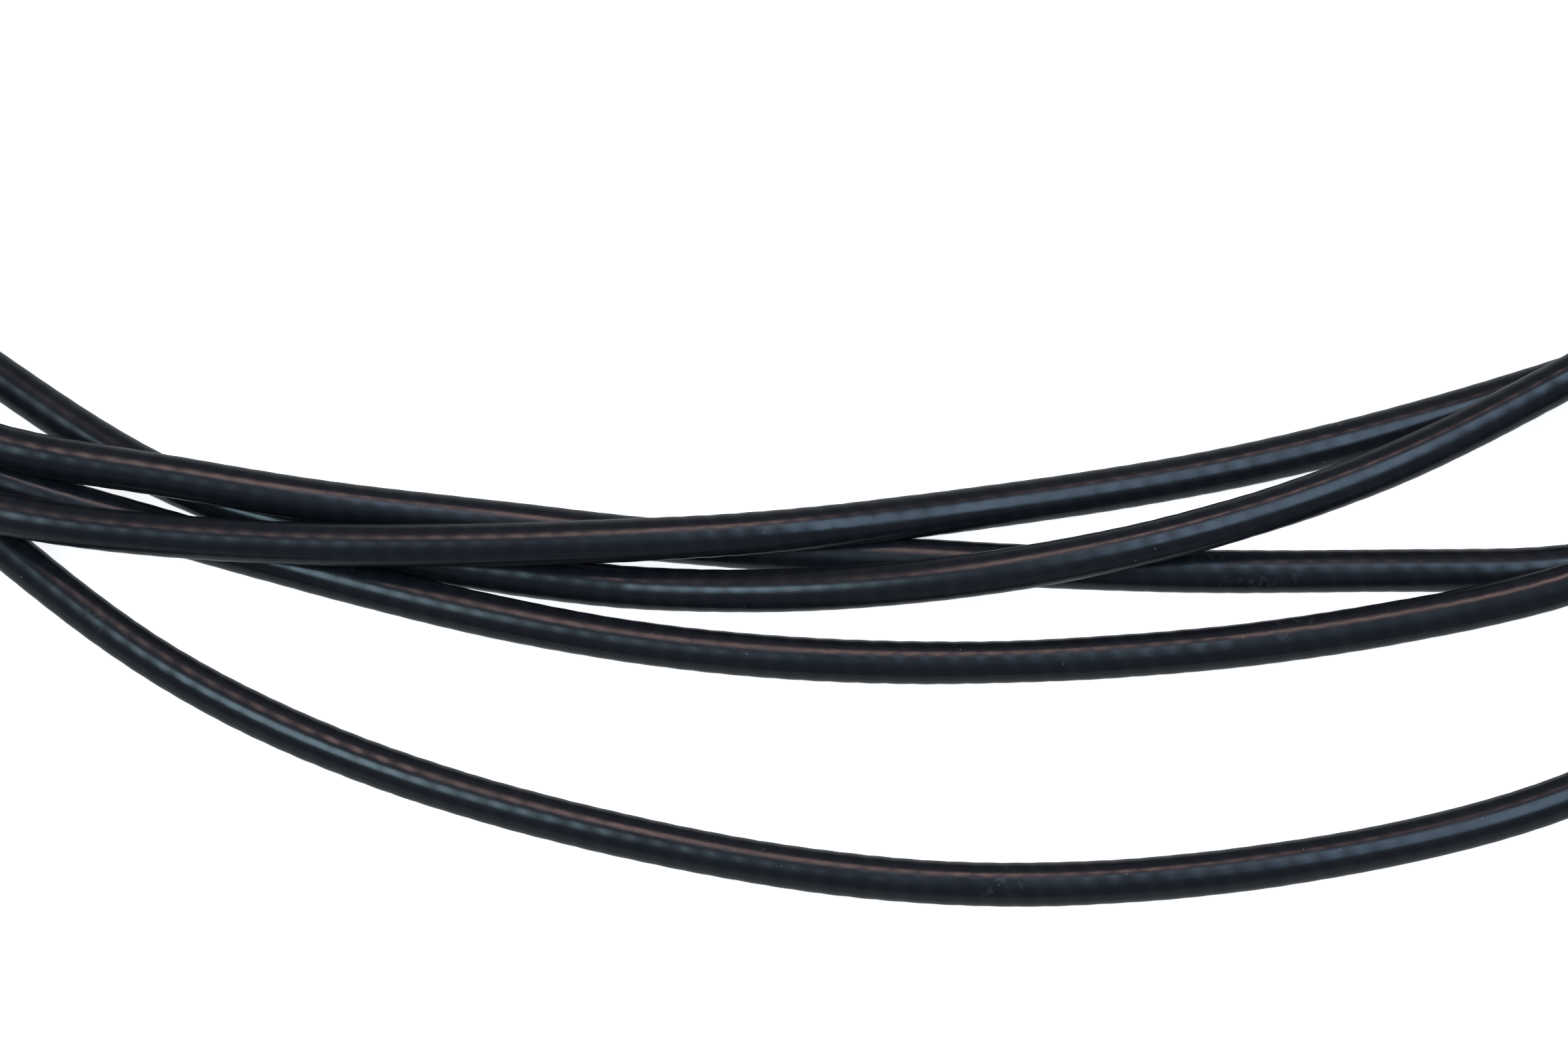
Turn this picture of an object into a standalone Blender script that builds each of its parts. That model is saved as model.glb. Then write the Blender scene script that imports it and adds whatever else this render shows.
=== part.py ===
"""Mechanical cable release for a camera: plunger head, long coiled cable and screw-in tip.

Frame: +Z up, the resting surface is z = 0. The head lies along X with its thumb button at +X, and
the origin is under the middle of the head. The cable leaves the head at -X, lies in a loose coil
in front of it (-Y) and ends in the tip, which lies inside the coil and points along -X.
Everything below is drawn in millimetres and turned into metres where a mesh or an object is made.
"""
import math

import bmesh
import bpy
import numpy as np
from mathutils import Matrix, Vector

MM = 0.001
GAP = 0.3  # between pieces that touch

# driving dimensions
CABLE_D = 3.2
CABLE_R = CABLE_D / 2
HEAD_Z = 6.5  # height of the head's axis
TIP_Y = -76.0
TIP_Z = 3.5  # height of the tip's axis
STROKE = 12.0

# stations along the head, from the cable's side to the thumb button
RELIEF_X = -48.4
SOCKET_X = -29.6
BARREL_X = -23.6
SPRING_X = -18.4
PISTON_X = 4.7
CAP_NECK_X = 11.0
PLATE_X = 16.3
WASHER_X = 19.0
CAP_X = 19.9
CAP_END_X = 27.4
BUSH_END_X = 28.0
LOCKNUT_X = BUSH_END_X + STROKE + GAP
BUTTON_X = 42.2
BUTTON_END_X = 48.4

# radii on the head
BARREL_R = 4.6
BORE_R = 3.3
NECK_R = BORE_R - GAP
ROD_R = 1.6
WIRE_R = 0.4
BUTTON_R = HEAD_Z
PLATE_HALF_WIDTH = 13.0
LOCK_X = 22.6
LOCK_SHANK_R = 1.2
LOCK_HEAD_R = 3.2
LOCK_BOSS_R = 2.6
LOCK_BOSS_TOP = 6.3  # above the head's axis

# stations along the tip, which points along -X
TIP_CABLE_X = 38.3
TIP_RELIEF_X = 26.3
FERRULE_X = 7.5
COLLAR_X = 4.0
COLLAR_END_X = 16.0
NIPPLE_END_X = -4.0

# the coil: lanes side by side, seen from above, around one middle
COIL_MIDDLE = (3.0, -122.0)
LANE = 3.5
HALF_WIDTH = 103.0
HALF_FAR = 84.0
HALF_NEAR = 79.0
GROOVE = math.sqrt(CABLE_D ** 2 - (LANE / 2) ** 2) / CABLE_D  # layer of a turn between two lanes
COIL_STARTS_DEG = 172.0
COIL_ENDS_DEG = 20.0
COIL_SECTION_DEG = 6.0
COIL_SKIN = 0.4
COIL_FACE_GAP = 0.7  # the cable meets the coil's faces at a slight angle
LEAD_SPACING = 8.0

# the five passes at the near side of the coil, left to right: x, y and height of the cable's middle
PASS_OUTER = [
    (-58, -197.7, 1.6), (-47, -206.3, 1.6), (-35, -212.9, 1.6), (-12, -220.4, 1.6),
    (12, -224.1, 1.6), (35, -222.8, 1.6), (47, -220.5, 1.6), (58, -217.0, 1.6),
]
PASS_SECOND = [
    (-58, -193.5, 3.7), (-47, -196.5, 2.1), (-35, -199.9, 1.6), (-12, -205.3, 1.6),
    (12, -207.1, 1.6), (35, -205.6, 1.7), (47, -204.0, 2.8), (58, -201.8, 4.4),
]
PASS_BOWED = [
    (-58, -184.8, 1.6), (-47, -192.0, 1.6), (-35, -196.8, 1.6), (-12, -201.1, 1.6),
    (12, -201.5, 4.4), (35, -196.5, 4.8), (47, -191.7, 4.8), (58, -185.8, 4.8),
]
PASS_STRAIGHT = [
    (-58, -191.6, 5.9), (-47, -193.4, 5.0), (-35, -195.1, 3.9), (-23, -196.0, 2.3), (-12, -197.1, 1.6),
    (12, -199.1, 1.6), (35, -199.9, 1.6), (47, -199.8, 1.6), (58, -199.4, 1.6),
]
PASS_INNER = [
    (-58, -196.8, 5.7), (-47, -198.3, 5.2), (-35, -199.0, 4.9), (-12, -198.7, 4.8), (2, -197.5, 4.2),
    (12, -195.7, 2.9), (35, -191.2, 1.6), (47, -188.0, 1.6), (58, -184.5, 1.6),
]

# how each pass goes on around the far side to the next one: degrees, lane and layer
TURN_FROM_INNER = [
    (-30, 1, 0), (0, 1, 0), (30, 1, 0), (60, 1, 0), (90, 1, 0), (120, 1, 0), (150, 1, 0), (180, 1, 0),
    (205, 1.2, 0),
]
TURN_FROM_OUTER = [
    (-30, 3.2, 0), (0, 3.2, 0), (30, 3, 0), (60, 3, 0), (90, 3, 0), (120, 2.7, 0), (150, 2.2, 0),
    (180, 2, 0), (205, 2.3, 0.6),
]
TURN_FROM_SECOND = [
    (-30, 2.05, 0.85), (0, 2.05, 0), (30, 2, 0), (60, 2, 0), (90, 2, 0), (120, 1.8, 0.5),
    (150, 1.5, GROOVE),
    (180, 1.5, GROOVE), (205, 1.1, 1.2),
]
TURN_FROM_STRAIGHT = [
    (-30, 2.8, 0.95), (0, 2.6, GROOVE), (25, 1.9, 1), (50, 1, 1), (75, 0.2, 0.5), (100, 0, 0),
    (130, 0, 0),
    (155, 0, 0), (180, 0, 0), (205, 0, 0),
]
ENTRY = [(180, 3.1, 0), (205, 3.6, 0.5)]
EXIT = [(-30, 0, 0.9), (0, 0, 0)]

# the free ends of the cable
LEAD_FROM_HEAD = [
    (-49, 0, 6.5), (-56, 0, 6.4), (-66, -0.4, 4.6), (-78, -2.6, 2.2), (-91, -8.5, 1.6),
    (-104, -20, 1.6),
    (-114, -46, 1.6), (-118.4, -86, 1.6),
]
LEAD_TO_TIP = [
    (103.5, -104, 1.6), (96, -88, 1.6), (82, -78.5, 1.6), (66, -76, 2.2), (53, -76, 3.3),
    (45, -76, 3.5),
    (38.6, -76, 3.5),
]


def clear_scene():
    for item in list(bpy.data.objects):
        bpy.data.objects.remove(item, do_unlink=True)


def make_material(name, colour, roughness, metallic):
    material = bpy.data.materials.new(name)
    material.use_nodes = True
    shader = material.node_tree.nodes["Principled BSDF"]
    shader.inputs["Base Color"].default_value = (*colour, 1.0)
    shader.inputs["Roughness"].default_value = roughness
    shader.inputs["Metallic"].default_value = metallic
    return material


def materials():
    return {
        "sheath": make_material("black_pvc_sheath", (0.010, 0.011, 0.014), 0.38, 0.0),
        "rubber": make_material("black_moulded_sleeve", (0.014, 0.014, 0.015), 0.6, 0.0),
        "button": make_material("black_moulded_button", (0.012, 0.012, 0.013), 0.3, 0.0),
        "nickel": make_material("nickel_plated_brass", (0.62, 0.60, 0.56), 0.24, 1.0),
        "steel": make_material("drawn_steel", (0.55, 0.55, 0.56), 0.32, 1.0),
        "brass": make_material("turned_brass", (0.68, 0.50, 0.22), 0.3, 1.0),
        "fibre": make_material("fibre_washer", (0.11, 0.035, 0.02), 0.8, 0.0),
    }


def add_object(name, mesh, material, place=(0.0, 0.0, 0.0), parent=None):
    """Link a mesh as an object at a place in millimetres, or on a parent that is already there."""
    item = bpy.data.objects.new(name, mesh)
    bpy.context.collection.objects.link(item)
    item.data.materials.append(material)
    if parent is None:
        item.location = Vector(place) * MM
    else:
        item.parent = parent
    return item


def add_axis(name, place):
    """An empty on a joint's axis, which carries the pieces that move on it."""
    empty = bpy.data.objects.new(name, None)
    bpy.context.collection.objects.link(empty)
    empty.empty_display_size = 0.005
    empty.location = Vector(place) * MM
    return empty


def finish_mesh(name, shape, smooth_deg=35.0):
    bmesh.ops.recalc_face_normals(shape, faces=shape.faces)
    mesh = bpy.data.meshes.new(name)
    shape.to_mesh(mesh)
    shape.free()
    mesh.shade_smooth()
    mesh.set_sharp_from_angle(angle=math.radians(smooth_deg))
    return mesh


def turned_mesh(name, outline, segments=24):
    """Turn an outline of (x, radius) around the X axis.

    An outline whose ends lie on the axis makes a solid piece, any other one closes into a ring.
    """
    solid = outline[0][1] == 0 and outline[-1][1] == 0
    shape = bmesh.new()
    corners = [shape.verts.new((x * MM, 0.0, radius * MM)) for x, radius in outline]
    pairs = list(zip(corners, corners[1:]))
    if not solid:
        pairs.append((corners[-1], corners[0]))
    edges = [shape.edges.new(pair) for pair in pairs]
    bmesh.ops.spin(
        shape, geom=corners + edges, cent=(0, 0, 0), axis=(1, 0, 0), angle=math.tau, steps=segments,
        use_merge=True,
    )
    bmesh.ops.remove_doubles(shape, verts=shape.verts, dist=1e-6)
    return finish_mesh(name, shape)


def sleeve_outline(x0, x1, bore, radius, edge=0.25):
    """A plain tube with a small chamfer on its outer edges."""
    return [
        (x0, bore), (x0, radius - edge), (x0 + edge, radius), (x1 - edge, radius), (x1, radius - edge),
        (x1, bore),
    ]


def rod_outline(x0, x1, radius, edge=0.2):
    return [
        (x0, 0), (x0, radius - edge), (x0 + edge, radius), (x1 - edge, radius), (x1, radius - edge),
        (x1, 0),
    ]


def cut(item, cutter_mesh, place, turn=None):
    """Take a cutter out of an object with an exact Boolean."""
    cutter = bpy.data.objects.new("cutter_" + item.name, cutter_mesh)
    bpy.context.collection.objects.link(cutter)
    cutter.location = Vector(place) * MM
    if turn is not None:
        cutter.rotation_euler = turn
    cutter.hide_render = True
    cutter.display_type = "WIRE"
    step = item.modifiers.new("cut", "BOOLEAN")
    step.operation = "DIFFERENCE"
    step.solver = "EXACT"
    step.object = cutter


# --- the cable -----------------------------------------------------------------------------------


def coil_place(degrees, lane, layer):
    angle = math.radians(degrees)
    depth = HALF_FAR if 0 <= degrees <= 180 else HALF_NEAR
    return (
        COIL_MIDDLE[0] + (HALF_WIDTH + LANE * lane) * math.cos(angle),
        COIL_MIDDLE[1] + (depth + LANE * lane) * math.sin(angle),
        CABLE_R + CABLE_D * layer,
    )


def cable_route():
    """The route's own points, from the head to the tip."""
    coil = [coil_place(*station) for station in ENTRY]
    laps = [
        (PASS_INNER, TURN_FROM_INNER),
        (PASS_OUTER, TURN_FROM_OUTER),
        (PASS_SECOND, TURN_FROM_SECOND),
        (PASS_STRAIGHT, TURN_FROM_STRAIGHT),
        (PASS_BOWED, EXIT),
    ]
    for near_pass, turn in laps:
        coil += near_pass
        coil += [coil_place(*station) for station in turn]
    return np.array(LEAD_FROM_HEAD + coil + LEAD_TO_TIP, dtype=float)


def smooth_curve(points, spacing):
    """A cubic spline through the points, read at about the given spacing, never under the surface."""
    count = len(points)
    gaps = np.linalg.norm(np.diff(points, axis=0), axis=1)
    system = np.zeros((count, count))
    wanted = np.zeros((count, 3))
    system[0, 0] = 1.0
    system[-1, -1] = 1.0
    for i in range(1, count - 1):
        system[i, i - 1] = gaps[i - 1]
        system[i, i] = 2 * (gaps[i - 1] + gaps[i])
        system[i, i + 1] = gaps[i]
        ahead = (points[i + 1] - points[i]) / gaps[i]
        behind = (points[i] - points[i - 1]) / gaps[i - 1]
        wanted[i] = 6 * (ahead - behind)
    bend = np.linalg.solve(system, wanted)
    read = []
    for i in range(count - 1):
        steps = max(int(round(gaps[i] / spacing)), 1)
        for share in np.arange(steps) / steps:
            rest = 1 - share
            curl = (rest ** 3 - rest) * bend[i] + (share ** 3 - share) * bend[i + 1]
            read.append(rest * points[i] + share * points[i + 1] + curl * gaps[i] ** 2 / 6)
    read.append(points[-1])
    read = np.array(read)
    read[:, 2] = np.maximum(read[:, 2], CABLE_R)
    return read


def polar(path):
    """Angle in degrees and radius of each point, seen from above from the coil's middle."""
    across = path[:, 0] - COIL_MIDDLE[0]
    along = path[:, 1] - COIL_MIDDLE[1]
    return np.degrees(np.arctan2(along, across)) % 360, np.hypot(across, along)


def point_at(path, i, degrees):
    """Where the cable passes an angle between two of its points."""
    angle, _ = polar(path[i:i + 2])
    share = (degrees - angle[0]) / (angle[1] - angle[0])
    return path[i] + share * (path[i + 1] - path[i])


def split_cable(path):
    """The cable in three stretches: from the head, in the coil, and on to the tip."""
    angle, _ = polar(path)
    half = len(path) // 2
    first = int(np.argmax(angle >= COIL_STARTS_DEG))
    lap = half + int(np.flatnonzero((angle[half:-1] > 270) & (angle[half + 1:] < 90))[-1])
    last = lap + int(np.argmax(angle[lap + 1:] >= COIL_ENDS_DEG))
    entry = point_at(path, first - 1, COIL_STARTS_DEG)
    leave = point_at(path, last, COIL_ENDS_DEG)
    return (
        np.vstack([path[:first], entry]),
        np.vstack([entry, path[first:last + 1], leave]),
        np.vstack([leave, path[last + 1:]]),
    )


def crossings(path, degrees):
    """Radius and height wherever the cable passes a ray from the coil's middle."""
    angle, radius = polar(path)
    side = (angle - degrees + 180) % 360 - 180
    found = []
    for i in np.flatnonzero((side[:-1] < 0) & (side[1:] >= 0) & (np.abs(side[:-1]) < 30)):
        share = -side[i] / (side[i + 1] - side[i])
        found.append((
            radius[i] + share * (radius[i + 1] - radius[i]),
            path[i, 2] + share * (path[i + 1, 2] - path[i, 2]),
        ))
    return found


def coil_mesh(path):
    """One closed ring that holds every turn: its walls step where the cable enters and leaves."""
    step = 0.12
    angles = list(np.arange(0, 360, COIL_SECTION_DEG))
    for degrees in (COIL_STARTS_DEG, COIL_ENDS_DEG):
        angles += [degrees - step, degrees + step]
    shape = bmesh.new()
    rings = []
    for degrees in sorted(angles):
        found = crossings(path, degrees)
        low = min(radius for radius, _ in found) - CABLE_R - COIL_SKIN
        high = max(radius for radius, _ in found) + CABLE_R + COIL_SKIN
        top = max(height for _, height in found) + CABLE_R + COIL_SKIN
        edge = 1.2
        section = [
            (low, 0), (high, 0), (high, top - edge), (high - edge, top), (low + edge, top),
            (low, top - edge),
        ]
        turn = Matrix.Rotation(math.radians(degrees), 3, "Z")
        middle = Vector((*COIL_MIDDLE, 0))
        places = [middle + turn @ Vector((radius, 0, z)) for radius, z in section]
        rings.append([shape.verts.new(place * MM) for place in places])
    for ring, following in zip(rings, rings[1:] + rings[:1]):
        for k in range(len(ring)):
            j = (k + 1) % len(ring)
            shape.faces.new((ring[k], ring[j], following[j], following[k]))
    return finish_mesh("cable_coil", shape)


def cable_tube(name, path, material):
    """A stretch of cable as a bevelled curve with filled ends."""
    curve = bpy.data.curves.new(name, "CURVE")
    curve.dimensions = "3D"
    curve.bevel_depth = CABLE_R * MM
    curve.bevel_resolution = 2
    curve.use_fill_caps = True
    spline = curve.splines.new("POLY")
    spline.points.add(len(path) - 1)
    for point, place in zip(spline.points, path):
        point.co = (*(Vector(place) * MM), 1.0)
    item = bpy.data.objects.new(name, curve)
    bpy.context.collection.objects.link(item)
    curve.materials.append(material)
    return item


def every(path, spacing, short_start=0.0, short_end=0.0):
    """The path with a point about every spacing millimetres, cut short at its ends."""
    lengths = np.concatenate([[0], np.cumsum(np.linalg.norm(np.diff(path, axis=0), axis=1))])
    count = int(round(lengths[-1] / spacing)) + 1
    wanted = np.linspace(short_start, lengths[-1] - short_end, count)
    return np.stack([np.interp(wanted, lengths, path[:, k]) for k in range(3)], axis=1)


def build_cable(material):
    from_head, coiled, to_tip = split_cable(smooth_curve(cable_route(), 1.0))
    add_object("cable_coil", coil_mesh(coiled), material)
    cable_tube("cable_lead_head", every(from_head, LEAD_SPACING, short_end=COIL_FACE_GAP), material)
    cable_tube("cable_lead_tip", every(to_tip, LEAD_SPACING, short_start=COIL_FACE_GAP), material)


# --- the head ------------------------------------------------------------------------------------


def build_socket_end(made):
    """What holds the cable at the head: sleeve, screwed socket and the conduit's ferrule."""
    place = (0, 0, HEAD_Z)
    relief = [
        (RELIEF_X, 1.95), (RELIEF_X, 2.3), (RELIEF_X + 0.4, 2.5), (SOCKET_X - 1.6, 3.2),
        (SOCKET_X - GAP, 3.2),
        (SOCKET_X - GAP, 2.35), (SOCKET_X + 2.9, 2.35), (SOCKET_X + 2.9, 1.95),
    ]
    add_object("strain_relief", turned_mesh("strain_relief", relief), made["rubber"], place)
    socket = [
        (SOCKET_X, 2.65), (SOCKET_X, 3.5), (SOCKET_X + 0.4, 3.9), (BARREL_X - GAP - 0.4, 3.9),
        (BARREL_X - GAP, 3.6), (BARREL_X - GAP, NECK_R), (BARREL_X + 4.9, NECK_R),
        (BARREL_X + 4.9, 1.8),
        (SOCKET_X + 3.2, 1.8), (SOCKET_X + 3.2, 2.65),
    ]
    add_object("cable_socket", turned_mesh("cable_socket", socket), made["nickel"], place)
    ferrule = sleeve_outline(SOCKET_X + 3.5, BARREL_X + 4.6, 0.75, 1.5, 0.15)
    add_object("conduit_ferrule", turned_mesh("conduit_ferrule", ferrule, 16), made["brass"], place)


def build_barrel(made):
    place = (0, 0, HEAD_Z)
    barrel = [
        (BARREL_X, BORE_R), (BARREL_X, 4.2), (BARREL_X + 0.4, BARREL_R), (BARREL_X + 2.6, BARREL_R),
        (BARREL_X + 3.0, 4.25), (BARREL_X + 3.8, 4.25), (BARREL_X + 4.2, BARREL_R),
        (PLATE_X - 3.2, BARREL_R),
        (PLATE_X - 2.6, 5.3), (PLATE_X - GAP, 5.3), (PLATE_X - GAP, BORE_R),
    ]
    add_object("barrel", turned_mesh("barrel", barrel, 32), made["nickel"], place)
    seat = sleeve_outline(SPRING_X, SPRING_X + 0.8, 0.8, 3.0, 0.15)
    add_object("spring_seat", turned_mesh("spring_seat", seat, 16), made["steel"], place)
    build_spring(made["steel"], place)


def build_spring(material, place):
    """The return spring, a helix with its last turns closed up at each end."""
    wire, middle, turns, around = 0.28, 2.45, 10, 10
    start = SPRING_X + 0.8 + GAP + wire
    length = PISTON_X - GAP - wire - start
    curve = bpy.data.curves.new("return_spring", "CURVE")
    curve.dimensions = "3D"
    curve.bevel_depth = wire * MM
    curve.bevel_resolution = 0
    curve.use_fill_caps = True
    spline = curve.splines.new("POLY")
    spline.points.add(turns * around)
    closed = 1.0 / turns
    for k, point in enumerate(spline.points):
        share = k / (turns * around)
        eased = min(max((share - closed * 0.6) / (1 - closed * 1.2), 0), 1)
        close_turn = 2.6 * wire * (min(share / closed, 1) + max(share - 1 + closed, 0) / closed)
        x = start + close_turn + eased * (length - 5.2 * wire)
        angle = math.tau * turns * share
        point.co = (x * MM, middle * math.cos(angle) * MM, middle * math.sin(angle) * MM, 1.0)
    item = bpy.data.objects.new("return_spring", curve)
    bpy.context.collection.objects.link(item)
    item.location = Vector(place) * MM
    curve.materials.append(material)


def build_plunger(made):
    """Everything that travels with the thumb button, carried by one empty on the plunger's axis."""
    axis = add_axis("plunger_axis", (0, 0, HEAD_Z))
    piston = [
        (PISTON_X, 0.75), (PISTON_X, 2.7), (PISTON_X + 0.3, 2.9), (PISTON_X + 5.7, 2.9),
        (PISTON_X + 6.0, 2.7),
        (PISTON_X + 6.0, 1.5), (PISTON_X + 3.4, 1.5), (PISTON_X + 3.4, 0.75),
    ]
    piston = add_object("piston", turned_mesh("piston", piston, 20), made["brass"], parent=axis)
    grub_x = PISTON_X + 1.7
    drill = turned_mesh("grub_hole", rod_outline(0.4, 4.0, 0.85, 0.1), 12)
    cut(piston, drill, (grub_x, 0, HEAD_Z), (0, -math.pi / 2, 0))
    grub = turned_mesh("wire_grub_screw", rod_outline(0.75, 2.5, 0.55, 0.1), 12)
    grub.transform(Matrix.Translation((grub_x * MM, 0, 0)) @ Matrix.Rotation(-math.pi / 2, 4, "Y"))
    add_object("wire_grub_screw", grub, made["steel"], parent=axis)
    wire = turned_mesh("inner_wire", rod_outline(SOCKET_X + 1.0, PISTON_X + 3.0, WIRE_R, 0.1), 10)
    add_object("inner_wire", wire, made["steel"], parent=axis)
    rod = [
        (PISTON_X + 3.7, 0), (PISTON_X + 3.7, 1.2), (PISTON_X + 6.3, 1.2), (PISTON_X + 6.3, ROD_R),
        (BUTTON_END_X - 2.9, ROD_R), (BUTTON_END_X - 2.6, ROD_R - 0.3), (BUTTON_END_X - 2.6, 0),
    ]
    add_object("plunger_rod", turned_mesh("plunger_rod", rod, 20), made["steel"], parent=axis)
    nut = sleeve_outline(LOCKNUT_X, LOCKNUT_X + 1.5, ROD_R + GAP, 2.9, 0.25)
    add_object("button_locknut", turned_mesh("button_locknut", nut, 6), made["nickel"], parent=axis)
    hub = ROD_R + GAP
    button = [
        (BUTTON_X, hub), (BUTTON_X, 3.4), (BUTTON_X + 0.6, 3.9), (BUTTON_X + 1.5, 4.4),
        (BUTTON_X + 2.4, 6.1),
        (BUTTON_X + 3.0, BUTTON_R), (BUTTON_END_X - 1.0, BUTTON_R),
        (BUTTON_END_X - 0.3, BUTTON_R - 0.3),
        (BUTTON_END_X, BUTTON_R - 0.9), (BUTTON_END_X, 4.3), (BUTTON_END_X - 0.45, 3.1),
        (BUTTON_END_X - 0.7, 1.5),
        (BUTTON_END_X - 0.8, 0),
    ]
    blind = [(BUTTON_END_X - 2.3, 0), (BUTTON_END_X - 2.3, hub)]
    button = turned_mesh("thumb_button", blind + button, 32)
    add_object("thumb_button", button, made["button"], parent=axis)


def plate_mesh():
    """The finger plate: a flat bar with round ends, bored for the cap's neck."""
    end = HEAD_Z
    reach = PLATE_HALF_WIDTH - end
    arc = 10
    outline = []
    for side, start in ((1, -90), (-1, 90)):
        for k in range(arc + 1):
            angle = math.radians(start + 180 * k / arc)
            outline.append((side * reach + end * math.cos(angle), end * math.sin(angle)))
    shape = bmesh.new()
    corners = [shape.verts.new((0, y * MM, z * MM)) for y, z in outline]
    face = shape.faces.new(corners)
    pushed = bmesh.ops.extrude_face_region(shape, geom=[face])
    moved = [part for part in pushed["geom"] if isinstance(part, bmesh.types.BMVert)]
    bmesh.ops.translate(shape, verts=moved, vec=(2.4 * MM, 0, 0))
    rims = [edge for edge in shape.edges if abs(edge.verts[0].co.x - edge.verts[1].co.x) < 1e-7]
    bmesh.ops.bevel(shape, geom=rims, offset=0.5 * MM, segments=1, affect="EDGES", profile=0.5)
    return finish_mesh("finger_plate", shape)


def build_cap(made):
    """The finger plate and the cap that clamps it, with the plunger's guide and the lock screw."""
    place = (0, 0, HEAD_Z)
    plate = add_object("finger_plate", plate_mesh(), made["nickel"], (PLATE_X, 0, HEAD_Z))
    drill = turned_mesh("plate_hole", rod_outline(-2, 5, NECK_R + GAP, 0.1), 24)
    cut(plate, drill, (PLATE_X, 0, HEAD_Z))
    washer = sleeve_outline(WASHER_X, WASHER_X + 0.6, NECK_R + GAP, 4.8, 0.1)
    add_object("plate_washer", turned_mesh("plate_washer", washer), made["fibre"], place)
    cap = [
        (CAP_NECK_X, ROD_R + 0.35), (CAP_NECK_X, NECK_R - 0.2), (CAP_NECK_X + 0.2, NECK_R),
        (CAP_X, NECK_R),
        (CAP_X, 4.8), (CAP_X + 0.4, 5.2), (CAP_END_X - 0.6, 5.2), (CAP_END_X, 4.6), (CAP_END_X, 2.75),
        (CAP_END_X - 2.4, 2.75), (CAP_END_X - 2.4, ROD_R + 0.35),
    ]
    cap = add_object("barrel_cap", turned_mesh("barrel_cap", cap, 32), made["nickel"], place)
    boss = turned_mesh("lock_boss", rod_outline(3.6, LOCK_BOSS_TOP, LOCK_BOSS_R, 0.3), 20)
    boss = bpy.data.objects.new("cutter_lock_boss", boss)
    bpy.context.collection.objects.link(boss)
    boss.location = Vector((LOCK_X, 0, HEAD_Z)) * MM
    boss.rotation_euler = (0, -math.pi / 2, 0)
    boss.hide_render = True
    boss.display_type = "WIRE"
    join = cap.modifiers.new("boss", "BOOLEAN")
    join.operation = "UNION"
    join.solver = "EXACT"
    join.object = boss
    drill = turned_mesh("lock_hole", rod_outline(1.0, 9.0, LOCK_SHANK_R + GAP, 0.1), 16)
    cut(cap, drill, (LOCK_X, 0, HEAD_Z), (0, -math.pi / 2, 0))
    bush = [
        (CAP_END_X - 2.1, ROD_R + GAP), (CAP_END_X - 2.1, 2.45), (CAP_END_X + 0.3, 2.45),
        (CAP_END_X + 0.3, 3.4),
        (BUSH_END_X, 3.2), (BUSH_END_X, ROD_R + GAP),
    ]
    add_object("guide_bush", turned_mesh("guide_bush", bush, 20), made["brass"], place)
    build_lock_screw(made)


def build_lock_screw(made):
    """The knurled screw that holds the plunger down, on its own upright axis, and its soft pad."""
    axis = add_axis("lock_axis", (LOCK_X, 0, HEAD_Z))
    axis.rotation_euler = (0, -math.pi / 2, 0)
    pad = turned_mesh("lock_pad", rod_outline(2.25, 3.05, 1.15, 0.1), 16)
    add_object("lock_pad", pad, made["brass"], parent=axis)
    head = LOCK_BOSS_TOP + GAP
    screw = [
        (3.35, 0), (3.35, LOCK_SHANK_R - 0.2), (3.55, LOCK_SHANK_R), (head + 0.5, LOCK_SHANK_R),
        (head + 0.5, 2.2),
        (head + 0.9, 2.9), (head + 1.2, LOCK_HEAD_R), (head + 4.0, LOCK_HEAD_R), (head + 4.4, 2.8),
        (head + 4.4, 0),
    ]
    add_object("lock_screw", turned_mesh("lock_screw", screw), made["nickel"], parent=axis)


# --- the tip -------------------------------------------------------------------------------------


def build_tip_body(made):
    place = (0, TIP_Y, TIP_Z)
    relief = [
        (TIP_RELIEF_X, 1.95), (TIP_RELIEF_X, 2.7), (TIP_RELIEF_X + 3.0, 2.7),
        (TIP_CABLE_X - GAP - 0.4, 2.3),
        (TIP_CABLE_X - GAP, 2.2), (TIP_CABLE_X - GAP, 1.95),
    ]
    add_object("tip_relief", turned_mesh("tip_relief", relief, 20), made["rubber"], place)
    ferrule = [
        (FERRULE_X, 1.1), (FERRULE_X, 2.9), (FERRULE_X + 1.2, 2.9), (FERRULE_X + 1.2, 2.5),
        (TIP_RELIEF_X - GAP - 0.3, 2.5), (TIP_RELIEF_X - GAP, 2.2), (TIP_RELIEF_X - GAP, 1.1),
    ]
    add_object("tip_ferrule", turned_mesh("tip_ferrule", ferrule, 20), made["nickel"], place)
    clip = sleeve_outline(COLLAR_END_X + GAP, COLLAR_END_X + 1.1, 2.8, 3.3, 0.1)
    add_object("collar_clip", turned_mesh("collar_clip", clip, 20), made["steel"], place)


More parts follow.
